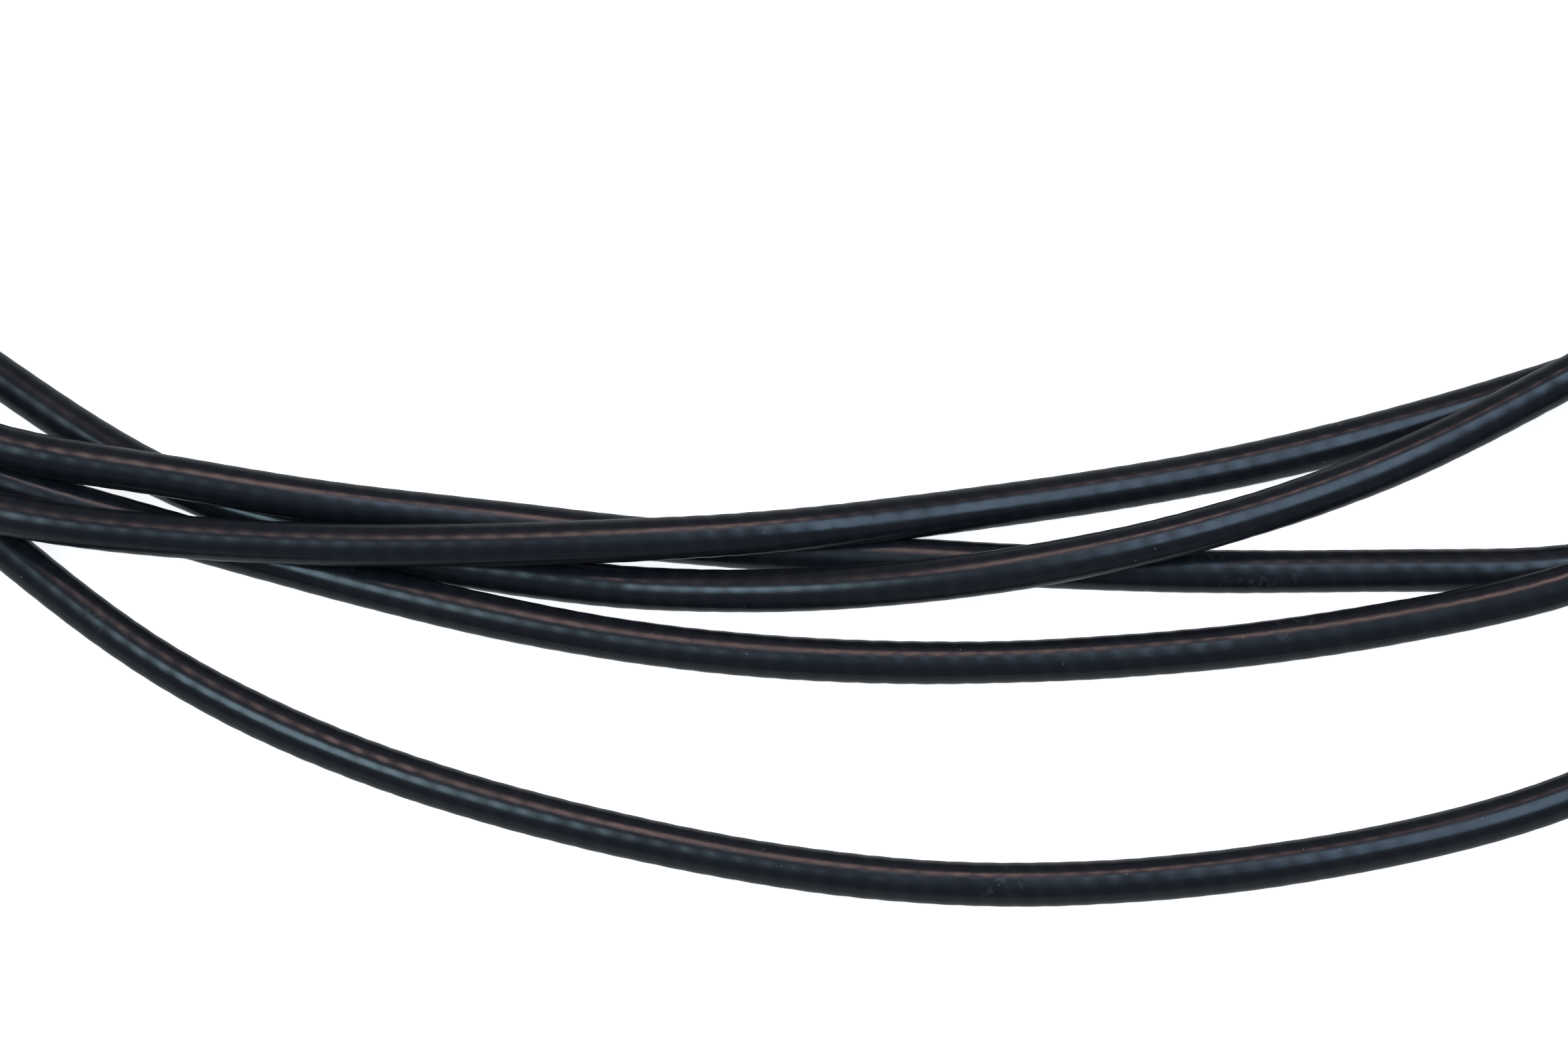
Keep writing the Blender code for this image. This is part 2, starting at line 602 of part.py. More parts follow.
def build_screw_collar(made):
    """The knurled collar and the tapered nipple, which spin freely on the tip's axis."""
    axis = add_axis("collar_axis", (0, TIP_Y, TIP_Z))
    collar = [
        (COLLAR_X, 2.35), (COLLAR_X, 3.2), (COLLAR_X + 0.3, TIP_Z), (COLLAR_END_X - 0.4, TIP_Z),
        (COLLAR_END_X, 3.2), (COLLAR_END_X, 2.8), (FERRULE_X + 1.6, 2.8), (FERRULE_X + 1.6, 3.0),
        (FERRULE_X + 1.4, 3.15), (COLLAR_X + 1.6, 3.15), (COLLAR_X + 1.6, 2.35),
    ]
    add_object("tip_collar", turned_mesh("tip_collar", collar), made["nickel"], parent=axis)
    nipple = [
        (FERRULE_X - GAP, 1.05), (FERRULE_X - GAP, 2.85), (COLLAR_X + 1.9, 2.85),
        (COLLAR_X + 1.9, 2.05), (COLLAR_X - 0.9, 2.05),
    ]
    threads = 7
    pitch = (COLLAR_X - 1.3 - NIPPLE_END_X) / threads
    for k in range(threads):
        x = COLLAR_X - 1.3 - pitch * k
        crest = 1.95 - 0.35 * k / threads
        nipple += [(x, crest - 0.18), (x - pitch / 2, crest)]
    nipple += [(NIPPLE_END_X + 0.2, 1.45), (NIPPLE_END_X, 1.35), (NIPPLE_END_X, 1.05)]
    add_object("screw_nipple", turned_mesh("screw_nipple", nipple, 20), made["nickel"], parent=axis)


def build_release_pin(made):
    """The pin that comes out of the tip, with the wire that pushes it."""
    axis = add_axis("pin_axis", (0, TIP_Y, TIP_Z))
    pin = [
        (NIPPLE_END_X + 0.3, 0), (NIPPLE_END_X + 0.3, 0.45), (NIPPLE_END_X + 0.6, 0.75),
        (14.0, 0.75), (14.0, 0),
    ]
    add_object("release_pin", turned_mesh("release_pin", pin, 12), made["steel"], parent=axis)
    crimp = rod_outline(14.3, 17.6, 0.8, 0.15)
    add_object("wire_crimp", turned_mesh("wire_crimp", crimp, 12), made["brass"], parent=axis)
    wire = rod_outline(17.9, 36.0, WIRE_R, 0.1)
    add_object("tip_wire", turned_mesh("tip_wire", wire, 10), made["steel"], parent=axis)


def main():
    clear_scene()
    made = materials()
    build_socket_end(made)
    build_barrel(made)
    build_plunger(made)
    build_cap(made)
    build_tip_body(made)
    build_screw_collar(made)
    build_release_pin(made)
    build_cable(made["sheath"])


main()
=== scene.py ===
"""Visual model of a mechanical cable release: thumb plunger head, three metres of black sheathed
cable in a loose coil, and a screw-in tip with a sliding pin.

Lengths are millimetres here and become metres where a mesh, a lamp or the camera is made.
"""
import math

import bmesh
import bpy
import numpy as np
from mathutils import Matrix, Vector, noise


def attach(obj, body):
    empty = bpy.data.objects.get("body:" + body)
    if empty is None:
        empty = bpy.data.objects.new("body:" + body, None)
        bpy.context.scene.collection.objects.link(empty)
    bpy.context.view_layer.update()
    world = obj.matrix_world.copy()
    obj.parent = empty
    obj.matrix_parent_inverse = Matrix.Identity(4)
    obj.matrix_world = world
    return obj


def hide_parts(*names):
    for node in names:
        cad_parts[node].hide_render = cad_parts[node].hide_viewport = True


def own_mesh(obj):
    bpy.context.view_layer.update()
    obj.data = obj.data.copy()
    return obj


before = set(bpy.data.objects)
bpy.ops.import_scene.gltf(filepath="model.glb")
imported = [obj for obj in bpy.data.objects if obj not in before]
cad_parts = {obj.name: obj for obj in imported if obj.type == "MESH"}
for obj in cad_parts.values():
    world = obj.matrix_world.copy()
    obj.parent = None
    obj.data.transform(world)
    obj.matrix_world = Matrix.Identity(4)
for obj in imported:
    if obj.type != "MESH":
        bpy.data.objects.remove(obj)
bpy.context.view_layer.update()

MM = 0.001

# the frame's own sizes
CABLE_D = 3.2
CABLE_R = CABLE_D / 2
HEAD_Z = 6.5
TIP_Y = -76.0
TIP_Z = 3.5
LOCK_X = 22.6
LOCK_HOLE_R = 1.45
SLEEVE_BORE = 1.58

# --- camera ---------------------------------------------------------------------------------------

CAMERA_TARGET = (0.0, -196.5, 3.0)
CAMERA_DISTANCE = 400.0
CAMERA_ELEVATION = math.radians(68)
VIEW_WIDTH = 116.0  # what the camera sees across at its target
SENSOR = 36.0


def place_camera():
    data = bpy.data.cameras.new("studio_camera")
    data.sensor_width = SENSOR
    data.sensor_fit = "HORIZONTAL"
    data.lens = SENSOR * CAMERA_DISTANCE / VIEW_WIDTH
    data.clip_start = 0.01
    data.clip_end = 20.0
    camera = bpy.data.objects.new("studio_camera", data)
    bpy.context.collection.objects.link(camera)
    away = Vector((0, -math.cos(CAMERA_ELEVATION), math.sin(CAMERA_ELEVATION)))
    camera.location = (Vector(CAMERA_TARGET) + away * CAMERA_DISTANCE) * MM
    camera.rotation_euler = away.to_track_quat("Z", "Y").to_euler()
    bpy.context.scene.camera = camera


# --- the cable's route, as the frame has it -------------------------------------------------------

COIL_MIDDLE = (3.0, -122.0)
LANE = 3.5
HALF_WIDTH = 103.0
HALF_FAR = 84.0
HALF_NEAR = 79.0
GROOVE = math.sqrt(CABLE_D ** 2 - (LANE / 2) ** 2) / CABLE_D

# the five passes at the near side of the coil, left to right: x, y and height of the cable's middle
PASS_OUTER = [
    (-58, -197.7, 1.6), (-47, -206.3, 1.6), (-35, -212.9, 1.6), (-12, -220.4, 1.6),
    (12, -224.1, 1.6), (35, -222.8, 1.6), (47, -220.5, 1.6), (58, -217.0, 1.6),
]
PASS_SECOND = [
    (-58, -193.5, 3.7), (-47, -196.5, 2.1), (-35, -199.9, 1.6), (-12, -205.3, 1.6),
    (12, -207.1, 1.6), (35, -205.6, 1.7), (47, -204.0, 2.8), (58, -201.8, 4.4),
]
PASS_BOWED = [
    (-58, -184.8, 1.6), (-47, -192.0, 1.6), (-35, -196.8, 1.6), (-12, -201.1, 1.6),
    (12, -201.5, 4.4), (35, -196.5, 4.8), (47, -191.7, 4.8), (58, -185.8, 4.8),
]
PASS_STRAIGHT = [
    (-58, -191.6, 5.9), (-47, -193.4, 5.0), (-35, -195.1, 3.9),
    (-23, -196.0, 2.3), (-12, -197.1, 1.6), (12, -199.1, 1.6),
    (35, -199.9, 1.6), (47, -199.8, 1.6), (58, -199.4, 1.6),
]
PASS_INNER = [
    (-58, -196.8, 5.7), (-47, -198.3, 5.2), (-35, -199.0, 4.9),
    (-12, -198.7, 4.8), (2, -197.5, 4.2), (12, -195.7, 2.9),
    (35, -191.2, 1.6), (47, -188.0, 1.6), (58, -184.5, 1.6),
]

# how each pass goes on around the far side to the next one: degrees, lane and layer
TURN_FROM_INNER = [
    (-30, 1, 0), (0, 1, 0), (30, 1, 0), (60, 1, 0), (90, 1, 0),
    (120, 1, 0), (150, 1, 0), (180, 1, 0), (205, 1.2, 0),
]
TURN_FROM_OUTER = [
    (-30, 3.2, 0), (0, 3.2, 0), (30, 3, 0), (60, 3, 0), (90, 3, 0),
    (120, 2.7, 0), (150, 2.2, 0), (180, 2, 0), (205, 2.3, 0.6),
]
TURN_FROM_SECOND = [
    (-30, 2.05, 0.85), (0, 2.05, 0), (30, 2, 0), (60, 2, 0), (90, 2, 0),
    (120, 1.8, 0.5), (150, 1.5, GROOVE), (180, 1.5, GROOVE), (205, 1.1, 1.2),
]
TURN_FROM_STRAIGHT = [
    (-30, 2.8, 0.95), (0, 2.6, GROOVE), (25, 1.9, 1), (50, 1, 1), (75, 0.2, 0.5),
    (100, 0, 0), (130, 0, 0), (155, 0, 0), (180, 0, 0), (205, 0, 0),
]
ENTRY = [(180, 3.1, 0), (205, 3.6, 0.5)]
EXIT = [(-30, 0, 0.9), (0, 0, 0)]

# the free ends; each goes on a little inside its sleeve
LEAD_FROM_HEAD = [
    (-42, 0, 6.5), (-49, 0, 6.5), (-56, 0, 6.4), (-66, -0.4, 4.6), (-78, -2.6, 2.2),
    (-91, -8.5, 1.6), (-104, -20, 1.6), (-114, -46, 1.6), (-118.4, -86, 1.6),
]
LEAD_TO_TIP = [
    (103.5, -104, 1.6), (96, -88, 1.6), (82, -78.5, 1.6), (66, -76, 2.2),
    (53, -76, 3.3), (45, -76, 3.5), (38.6, -76, 3.5), (31, -76, 3.5),
]


def coil_place(degrees, lane, layer):
    angle = math.radians(degrees)
    depth = HALF_FAR if 0 <= degrees <= 180 else HALF_NEAR
    return (
        COIL_MIDDLE[0] + (HALF_WIDTH + LANE * lane) * math.cos(angle),
        COIL_MIDDLE[1] + (depth + LANE * lane) * math.sin(angle),
        CABLE_R + CABLE_D * layer,
    )


def cable_route():
    coil = [coil_place(*station) for station in ENTRY]
    laps = [
        (PASS_INNER, TURN_FROM_INNER),
        (PASS_OUTER, TURN_FROM_OUTER),
        (PASS_SECOND, TURN_FROM_SECOND),
        (PASS_STRAIGHT, TURN_FROM_STRAIGHT),
        (PASS_BOWED, EXIT),
    ]
    for near_pass, turn in laps:
        coil += near_pass
        coil += [coil_place(*station) for station in turn]
    return np.array(LEAD_FROM_HEAD + coil + LEAD_TO_TIP, dtype=float)


def smooth_curve(points, spacing):
    """A cubic spline through the points, never lower than the cable can lie."""
    count = len(points)
    gaps = np.linalg.norm(np.diff(points, axis=0), axis=1)
    system = np.zeros((count, count))
    wanted = np.zeros((count, 3))
    system[0, 0] = 1.0
    system[-1, -1] = 1.0
    for i in range(1, count - 1):
        system[i, i - 1] = gaps[i - 1]
        system[i, i] = 2 * (gaps[i - 1] + gaps[i])
        system[i, i + 1] = gaps[i]
        wanted[i] = 6 * (
            (points[i + 1] - points[i]) / gaps[i] - (points[i] - points[i - 1]) / gaps[i - 1]
        )
    bend = np.linalg.solve(system, wanted)
    read = []
    for i in range(count - 1):
        steps = max(int(round(gaps[i] / spacing)), 1)
        for share in np.arange(steps) / steps:
            rest = 1 - share
            curl = (rest ** 3 - rest) * bend[i] + (share ** 3 - share) * bend[i + 1]
            read.append(rest * points[i] + share * points[i + 1] + curl * gaps[i] ** 2 / 6)
    read.append(points[-1])
    read = np.array(read)
    read[:, 2] = np.maximum(read[:, 2], CABLE_R)
    return read


# --- meshes ---------------------------------------------------------------------------------------


def add_piece(name, mesh, material, body, replaced=(), smooth_deg=40.0):
    """Link a finished mesh, let it ride on its body and stand for the frame's nodes."""
    mesh.shade_smooth()
    mesh.set_sharp_from_angle(angle=math.radians(smooth_deg))
    mesh.materials.append(material)
    piece = bpy.data.objects.new(name, mesh)
    bpy.context.collection.objects.link(piece)
    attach(piece, body)
    if replaced:
        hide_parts(*replaced)
    return piece


def grid_mesh(name, points, closed_rows, edge_wear=None):
    """A mesh of rows of points that each close around an axis, with its doubled points merged."""
    rows, around, _ = points.shape
    mesh = bpy.data.meshes.new(name)
    faces = []
    for i in range(rows if closed_rows else rows - 1):
        following = (i + 1) % rows
        for j in range(around):
            k = (j + 1) % around
            faces.append(
                (i * around + j, i * around + k, following * around + k, following * around + j)
            )
    mesh.from_pydata((points.reshape(-1, 3) * MM).tolist(), [], faces)
    if edge_wear is not None:
        wear = mesh.attributes.new("edge_wear", "FLOAT", "POINT")
        wear.data.foreach_set("value", np.repeat(edge_wear, around).astype(np.float32))
    shape = bmesh.new()
    shape.from_mesh(mesh)
    bmesh.ops.remove_doubles(shape, verts=shape.verts, dist=1e-7)
    bmesh.ops.recalc_face_normals(shape, faces=shape.faces)
    shape.to_mesh(mesh)
    shape.free()
    return mesh


def soften(outline, radius, closed):
    """Round each corner of an outline with three points, and mark how far it stands out."""
    count = len(outline)
    straight = 0.97  # a corner's two sides run on with hardly a turn
    most = 0.45  # of a side's length that a rounding may take
    made = []
    for i, station in enumerate(outline):
        x, r, form = station
        if not closed and i in (0, count - 1):
            made.append((x, r, form, 0.0))
            continue
        here = Vector((x, r))
        before = Vector(outline[i - 1][:2]) - here
        after = Vector(outline[(i + 1) % count][:2]) - here
        if (
            before.length < 1e-6 or after.length < 1e-6
            or abs(before.normalized().dot(after.normalized())) > straight
        ):
            made.append((x, r, form, 0.0))
            continue
        first = here + before.normalized() * min(radius, before.length * most)
        last = here + after.normalized() * min(radius, after.length * most)
        middle = (first + 2 * here + last) / 4
        turn = before.x * after.y - before.y * after.x
        worn = 1.0 if turn > 0 else 0.0
        made.append((first.x, first.y, form, worn * 0.4))
        made.append((middle.x, middle.y, form, worn))
        made.append((last.x, last.y, form, worn * 0.4))
    # clean stations near the corners of a long face keep the wear at its edges
    spaced = []
    for here, following in zip(made, made[1:] + made[:1]):
        spaced.append(here)
        x_run, r_run = following[0] - here[0], following[1] - here[1]
        length = math.hypot(x_run, r_run)
        plain = here[2] is None and following[2] is None
        if plain and length > 8 * radius and (closed or following is not made[0]):
            for share in (2 * radius / length, 1 - 2 * radius / length):
                spaced.append((here[0] + x_run * share, here[1] + r_run * share, None, 0.0))
    return spaced


def turned(name, outline, middle, around=64, radius=0.12, upright=False):
    """Turn an outline of (x, radius[, form]) around an axis through middle.

    form is a function of the angle, x and radius that gives a new radius. The axis lies along X,
    or stands along Z if upright. An outline that starts and ends on the axis makes a solid.
    """
    outline = [(*station, None)[:3] for station in outline]
    closed = outline[0][1] > 0 or outline[-1][1] > 0
    rows = soften(outline, radius, closed)
    angles = np.arange(around) * math.tau / around
    points = np.zeros((len(rows), around, 3))
    for i, (x, r, form, _) in enumerate(rows):
        radii = np.full(around, r) if form is None else form(angles, x, r)
        points[i, :, 0] = x
        points[i, :, 1] = radii * np.sin(angles)
        points[i, :, 2] = radii * np.cos(angles)
    if upright:
        points = np.stack([-points[:, :, 2], points[:, :, 1], points[:, :, 0]], axis=2)
    points += np.array(middle)
    return grid_mesh(name, points, closed, np.array([row[3] for row in rows]))


def drilled(mesh, middle, radius, low, high):
    """Cut a round upright hole into a finished mesh, from low to high above the middle."""
    drill = turned(
        "drill", [(low, 0), (low, radius), (high, radius), (high, 0)], middle, 40, 0.02, True,
    )
    blank = bpy.data.objects.new("blank", mesh)
    tool = bpy.data.objects.new("drill", drill)
    for thing in (blank, tool):
        bpy.context.collection.objects.link(thing)
    cut = blank.modifiers.new("hole", "BOOLEAN")
    cut.operation = "DIFFERENCE"
    cut.solver = "EXACT"
    cut.object = tool
    ready = blank.evaluated_get(bpy.context.evaluated_depsgraph_get())
    made = bpy.data.meshes.new_from_object(ready)
    made.name = mesh.name
    for thing in (blank, tool):
        bpy.data.objects.remove(thing)
    return made


KNURL_STEPS = 6


def straight_teeth(count, depth):
    """A form for a straight knurl: fine V teeth along the axis."""
    def form(angles, x, r):
        swing = np.abs((angles * count / math.tau) % 1 - 0.5) * 2
        return r - depth * (1 - swing)
    return form


def crossed_knurl(x0, x1, radius, count, depth):
    """Rows of a crossed knurl: two sets of V grooves that slant against each other.

    The mesh needs KNURL_STEPS points for each of the count teeth around it.
    """
    tooth = math.tau * radius / count

    def form(angles, x, r):
        turn = angles * count / math.tau
        slant = (x - x0) / tooth
        one = np.abs((turn + slant) % 1 - 0.5) * 2
        other = np.abs((turn - slant) % 1 - 0.5) * 2
        return r - depth * np.maximum(1 - one * 1.6, 1 - other * 1.6).clip(0, 1)

    step = tooth / KNURL_STEPS
    return [(x0 + step * k, radius, form) for k in range(int((x1 - x0) / step) + 1)]


def six_flats(apothem):
    """A form for a hexagon, cut down to the row's own radius."""
    def form(angles, x, r):
        side = (angles + math.pi / 6) % (math.pi / 3) - math.pi / 6
        return np.minimum(apothem / np.cos(side), r)
    return form


def screw_thread(pitch, depth):
    def form(angles, x, r):
        swing = np.abs((x / pitch + angles / math.tau) % 1 - 0.5) * 2
        return r - depth * (1 - swing)
    return form


def band(x0, x1, r, form, step):
    """Rows close enough together to carry a form between two stations."""
    count = max(int(round((x1 - x0) / step)), 1)
    return [(x0 + (x1 - x0) * k / count, r, form) for k in range(count + 1)]


def groove(x, width, r, depth):
    return [
        (x, r), (x + depth * 0.5, r - depth), (x + width - depth * 0.5, r - depth), (x + width, r),
    ]


# --- materials ------------------------------------------------------------------------------------


def linear(hex_colour):
    """An sRGB hex colour as linear RGBA."""
    parts = [int(hex_colour[i:i + 2], 16) / 255 for i in (1, 3, 5)]
    return (*[p / 12.92 if p <= 0.04045 else ((p + 0.055) / 1.055) ** 2.4 for p in parts], 1.0)


def start_material(name, **settings):
    """A new material, its node tree, its Principled shader and the object's place in millimetres."""
    material = bpy.data.materials.new(name)
    material.use_nodes = True
    tree = material.node_tree
    shader = tree.nodes["Principled BSDF"]
    for socket, value in settings.items():
        shader.inputs[socket.replace("_", " ")].default_value = value
    place = add(tree, "ShaderNodeTexCoord").outputs["Object"]
    place = add(tree, "ShaderNodeVectorMath", {0: place, "Scale": 1 / MM}, operation="SCALE").outputs[0]
    return material, tree, shader, place


def add(tree, kind, inputs=None, **settings):
    """Add a node with its settings, and give each input a value or a link."""
    node = tree.nodes.new(kind)
    for key, value in settings.items():
        setattr(node, key, value)
    for key, value in (inputs or {}).items():
        if isinstance(value, bpy.types.NodeSocket):
            tree.links.new(value, node.inputs[key])
        else:
            node.inputs[key].default_value = value
    return node


def link(tree, source, shader, socket):
    tree.links.new(source, shader.inputs[socket])


def extruded_pvc_sheath():
    """Black PVC, drawn over a spiral conduit by extrusion: a satin skin with a soft broken gloss,
    grey dust held in the valleys, a few pale specks and rubbed places."""
    material, tree, shader, place = start_material(
        "extruded_black_pvc_sheath", IOR=1.52, Specular_IOR_Level=0.4,
    )
    cloud = add(tree, "ShaderNodeTexNoise", {"Vector": place, "Scale": 1 / 5.0, "Detail": 4.0})
    grain = add(tree, "ShaderNodeTexNoise", {"Vector": place, "Scale": 1 / 0.16, "Detail": 3.0})
    valley = add(tree, "ShaderNodeAttribute", attribute_name="valley")
    dusty = add(
        tree, "ShaderNodeMath", {0: valley.outputs["Fac"], 1: cloud.outputs["Fac"]},
        operation="MULTIPLY",
    )
    skin = add(
        tree, "ShaderNodeMix", {
            "Factor": dusty.outputs[0], "A": linear("#1b1c20"), "B": linear("#28282a"),
        },
        data_type="RGBA",
    )
    # specks of dust, about 0.1 mm across and one in a few square millimetres
    specks = add(tree, "ShaderNodeTexVoronoi", {"Vector": place, "Scale": 1 / 1.3})
    near = add(
        tree, "ShaderNodeMath", {0: specks.outputs["Distance"], 1: 0.045}, operation="LESS_THAN",
    )
    chosen = add(tree, "ShaderNodeSeparateColor", {"Color": specks.outputs["Color"]})
    few = add(tree, "ShaderNodeMath", {0: chosen.outputs["Red"], 1: 0.72}, operation="GREATER_THAN")
    speck = add(
        tree, "ShaderNodeMath", {0: near.outputs[0], 1: few.outputs[0]}, operation="MULTIPLY",
    )
    flecked = add(
        tree, "ShaderNodeMix", {
            "Factor": speck.outputs[0], "A": skin.outputs["Result"], "B": linear("#77736c"),
        },
        data_type="RGBA",
    )
    # rubbed places, a few millimetres long, where the skin has gone pale and dull
    patch = add(tree, "ShaderNodeTexNoise", {"Vector": place, "Scale": 1 / 9.0, "Detail": 1.0})
    scratch = add(tree, "ShaderNodeTexNoise", {"Vector": place, "Scale": 1 / 0.5, "Detail": 5.0})
    rubbed = add(tree, "ShaderNodeMapRange", {
        "Value": patch.outputs["Fac"], "From Min": 0.70, "From Max": 0.76,
    })
    broken = add(tree, "ShaderNodeMapRange", {
        "Value": scratch.outputs["Fac"], "From Min": 0.55, "From Max": 0.68,
    })
    scuff = add(
        tree, "ShaderNodeMath", {0: rubbed.outputs[0], 1: broken.outputs[0]}, operation="MULTIPLY",
    )
    scuff = add(tree, "ShaderNodeMath", {0: scuff.outputs[0], 1: 0.12}, operation="MULTIPLY")
    colour = add(
        tree, "ShaderNodeMix", {
            "Factor": scuff.outputs[0], "A": flecked.outputs["Result"], "B": linear("#8a857d"),
        },
        data_type="RGBA",
    )
    gloss = add(tree, "ShaderNodeMapRange", {
        "Value": cloud.outputs["Fac"], "From Min": 0.3, "From Max": 0.7, "To Min": 0.23, "To Max": 0.30,
    })
    gloss = add(
        tree, "ShaderNodeMath", {0: scuff.outputs[0], 1: 0.5, 2: gloss.outputs[0]},
        operation="MULTIPLY_ADD",
    )
    bump = add(
        tree, "ShaderNodeBump",
        {"Height": grain.outputs["Fac"], "Strength": 0.15, "Distance": 0.02 * MM},
    )
    link(tree, colour.outputs["Result"], shader, "Base Color")
    link(tree, gloss.outputs[0], shader, "Roughness")
    link(tree, bump.outputs["Normal"], shader, "Normal")
    return material


def moulded_rubber():
    """Black rubber from a blasted mould: dull, with a fine even pebble and dust on the crests."""
    material, tree, shader, place = start_material(
        "moulded_black_rubber", IOR=1.52, Specular_IOR_Level=0.35,
    )
    pebble = add(tree, "ShaderNodeTexNoise", {"Vector": place, "Scale": 1 / 0.12, "Detail": 3.0})
    cloud = add(tree, "ShaderNodeTexNoise", {"Vector": place, "Scale": 1 / 3.0, "Detail": 4.0})
    worn = add(tree, "ShaderNodeAttribute", attribute_name="edge_wear")
    dusty = add(
        tree, "ShaderNodeMath", {0: worn.outputs["Fac"], 1: cloud.outputs["Fac"]},
        operation="MULTIPLY",
    )
    colour = add(
        tree, "ShaderNodeMix", {
            "Factor": dusty.outputs[0], "A": linear("#17181a"), "B": linear("#3a3b3c"),
        },
        data_type="RGBA",
    )
    gloss = add(
        tree, "ShaderNodeMapRange", {"Value": cloud.outputs["Fac"], "To Min": 0.5, "To Max": 0.72},
    )
    bump = add(
        tree, "ShaderNodeBump",
        {"Height": pebble.outputs["Fac"], "Strength": 0.5, "Distance": 0.03 * MM},
    )
    link(tree, colour.outputs["Result"], shader, "Base Color")
    link(tree, gloss.outputs[0], shader, "Roughness")
    link(tree, bump.outputs["Normal"], shader, "Normal")
    return material


def moulded_phenolic():
    """Black phenolic, pressed in a polished mould: a deep soft gloss, hazed where a thumb has rubbed
    it and crossed by hair scratches."""
    material, tree, shader, place = start_material("pressed_black_phenolic", IOR=1.6)
    cloud = add(tree, "ShaderNodeTexNoise", {"Vector": place, "Scale": 1 / 4.0, "Detail": 3.0})
    stretched = add(tree, "ShaderNodeMapping", {"Vector": place, "Scale": (1.0, 6.0, 0.35)})
    hair = add(
        tree, "ShaderNodeTexNoise",
        {"Vector": stretched.outputs[0], "Scale": 1 / 0.6, "Detail": 6.0},
    )
    worn = add(tree, "ShaderNodeAttribute", attribute_name="edge_wear")
    colour = add(
        tree, "ShaderNodeMix", {
            "Factor": worn.outputs["Fac"], "A": linear("#121113"), "B": linear("#2c2725"),
        },
        data_type="RGBA",
    )
    haze = add(
        tree, "ShaderNodeMapRange", {"Value": cloud.outputs["Fac"], "To Min": 0.16, "To Max": 0.38},
    )
    gloss = add(
        tree, "ShaderNodeMath", {0: hair.outputs["Fac"], 1: 0.12, 2: haze.outputs[0]},
        operation="MULTIPLY_ADD",
    )
    bump = add(
        tree, "ShaderNodeBump",
        {"Height": hair.outputs["Fac"], "Strength": 0.15, "Distance": 0.01 * MM},
    )
    link(tree, colour.outputs["Result"], shader, "Base Color")
    link(tree, gloss.outputs[0], shader, "Roughness")
    link(tree, bump.outputs["Normal"], shader, "Normal")
    return material


def worked_metal(name, clean, aged, bare, line_scale, roughness, cut):
    """A metal with the lines of its last tool, a little tarnish and edges rubbed through.

    line_scale stretches the tool's lines: close together along the axis that has the large number.
    """
    material, tree, shader, place = start_material(name, Metallic=1.0)
    cloud = add(tree, "ShaderNodeTexNoise", {"Vector": place, "Scale": 1 / 3.5, "Detail": 5.0})
    stretched = add(tree, "ShaderNodeMapping", {"Vector": place, "Scale": line_scale})
    lines = add(
        tree, "ShaderNodeTexNoise", {"Vector": stretched.outputs[0], "Scale": 1.0, "Detail": 2.0},
    )
    tarnish = add(
        tree, "ShaderNodeMapRange",
        {"Value": cloud.outputs["Fac"], "From Min": 0.48, "From Max": 0.78},
    )
    base = add(
        tree, "ShaderNodeMix", {
            "Factor": tarnish.outputs[0], "A": linear(clean), "B": linear(aged),
        },
        data_type="RGBA",
    )
    worn = add(tree, "ShaderNodeAttribute", attribute_name="edge_wear")
    patchy = add(
        tree, "ShaderNodeMapRange",
        {"Value": cloud.outputs["Fac"], "From Min": 0.5, "From Max": 0.62},
    )
    rubbed = add(
        tree, "ShaderNodeMath", {0: worn.outputs["Fac"], 1: patchy.outputs[0]},
        operation="MULTIPLY",
    )
    colour = add(
        tree, "ShaderNodeMix", {
            "Factor": rubbed.outputs[0], "A": base.outputs["Result"], "B": linear(bare),
        },
        data_type="RGBA",
    )
    gloss = add(
        tree, "ShaderNodeMath", {0: lines.outputs["Fac"], 1: 0.16, 2: roughness},
        operation="MULTIPLY_ADD",
    )
    dull = add(
        tree, "ShaderNodeMath", {0: tarnish.outputs[0], 1: 0.1, 2: gloss.outputs[0]},
        operation="MULTIPLY_ADD",
    )
    bump = add(
        tree, "ShaderNodeBump",
        {"Height": lines.outputs["Fac"], "Strength": cut, "Distance": 0.02 * MM},
    )
    link(tree, colour.outputs["Result"], shader, "Base Color")
    link(tree, dull.outputs[0], shader, "Roughness")
    link(tree, bump.outputs["Normal"], shader, "Normal")
    return material


def pressed_fibre():
    """Red-brown vulcanised fibre, stamped from sheet: matt, with a papery mottle."""
    material, tree, shader, place = start_material(
        "stamped_vulcanised_fibre", IOR=1.5, Specular_IOR_Level=0.3, Roughness=0.8,
    )
    mottle = add(tree, "ShaderNodeTexNoise", {"Vector": place, "Scale": 1 / 0.35, "Detail": 6.0})
    colour = add(
        tree, "ShaderNodeMix", {
            "Factor": mottle.outputs["Fac"], "A": linear("#4a2016"), "B": linear("#6e3a26"),
        },
        data_type="RGBA",
    )
    bump = add(
        tree, "ShaderNodeBump",
        {"Height": mottle.outputs["Fac"], "Strength": 0.4, "Distance": 0.02 * MM},
    )
    link(tree, colour.outputs["Result"], shader, "Base Color")
    link(tree, bump.outputs["Normal"], shader, "Normal")
    return material


# tool lines are about 0.1 mm apart; a stretched axis runs along them
ACROSS_X = (9.0, 0.4, 0.4)
ACROSS_Z = (0.4, 0.4, 9.0)
ALONG_X = (0.3, 9.0, 9.0)
PLAIN = (2.5, 2.5, 2.5)

